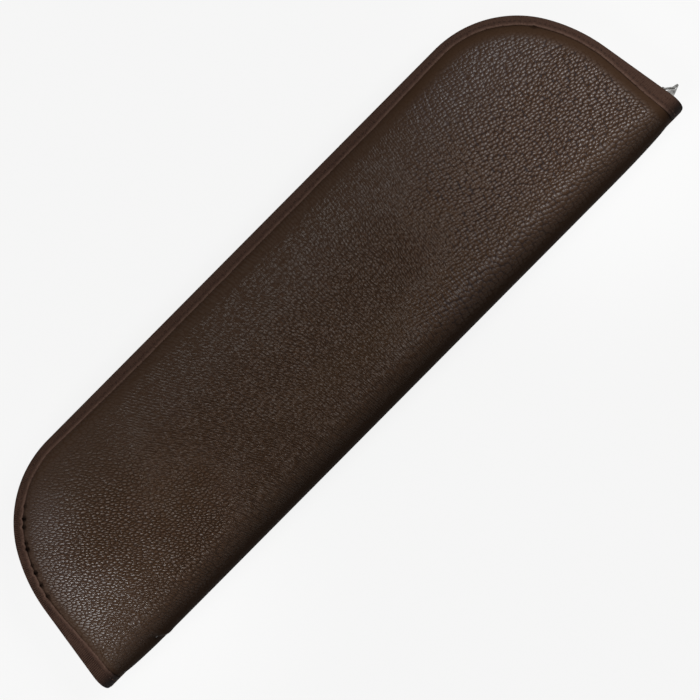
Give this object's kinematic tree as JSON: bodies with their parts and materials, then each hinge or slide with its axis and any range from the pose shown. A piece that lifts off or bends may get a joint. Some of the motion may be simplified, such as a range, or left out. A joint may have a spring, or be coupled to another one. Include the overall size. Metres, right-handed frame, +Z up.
{
  "type": "leather knife case",
  "caption": "Padded leather case for kitchen knives that opens like a book, with bound edges and a zip round three sides.",
  "frame": {"origin": "on the surface that the closed case lies on, under the middle of its box", "axes": "+X along the spine towards the closed end of the zip, +Y from the spine to the long zipped side, +Z up"},
  "size_m": [0.3568, 0.095, 0.025],
  "materials": {
    "outer_leather": "pebble-grained brown leather, semi-matt",
    "padding": "closed-cell foam sheet",
    "lining": "short brown plush",
    "binding": "ribbed grosgrain tape, matt",
    "thread": "dark sewing thread",
    "zip_tape": "woven zip tape, matt",
    "zip_metal": "nickel-plated, lightly worn"
  },
  "bodies": {
    "bottom_cover": {"bottom_leather": "outer_leather", "bottom_foam": "padding", "bottom_lining": "lining", "bottom_binding": "binding", "bottom_binding_stitch": "thread", "bottom_zip_tape": "zip_tape", "bottom_zip_teeth": "zip_metal", "bottom_end_stop": "zip_metal", "zip_far_stop": "zip_metal"},
    "top_cover": {"top_leather": "outer_leather", "top_foam": "padding", "top_lining": "lining", "top_binding": "binding", "top_binding_stitch": "thread", "top_zip_tape": "zip_tape", "top_zip_teeth": "zip_metal", "top_end_stop": "zip_metal"},
    "slider": {"zip_slider": "zip_metal", "slider_bridge": "zip_metal"},
    "link": {"pull_link": "zip_metal"},
    "tab": {"pull_tab": "zip_metal"}
  },
  "joints": [
    {"name": "cover_hinge", "type": "hinge", "parent": "bottom_cover", "child": "top_cover", "pos_m": [0, -0.0475, 0.0125], "axis": [1, 0, 0], "range_deg": [0, 180]},
    {"name": "slider_slide", "type": "slide", "parent": "bottom_cover", "child": "slider", "axis": [-0.1582, 0.9874, 0], "range_m": [0, 0.025]},
    {"name": "link_hinge", "type": "hinge", "parent": "slider", "child": "link", "pos_m": [0.17662, -0.03698, 0.0125], "axis": [0, 0, -1], "range_deg": [0, 100]},
    {"name": "tab_hinge", "type": "hinge", "parent": "link", "child": "tab", "pos_m": [0.17229, -0.03363, 0.0125], "axis": [0, 0, -1], "range_deg": [0, 100]}
  ]
}
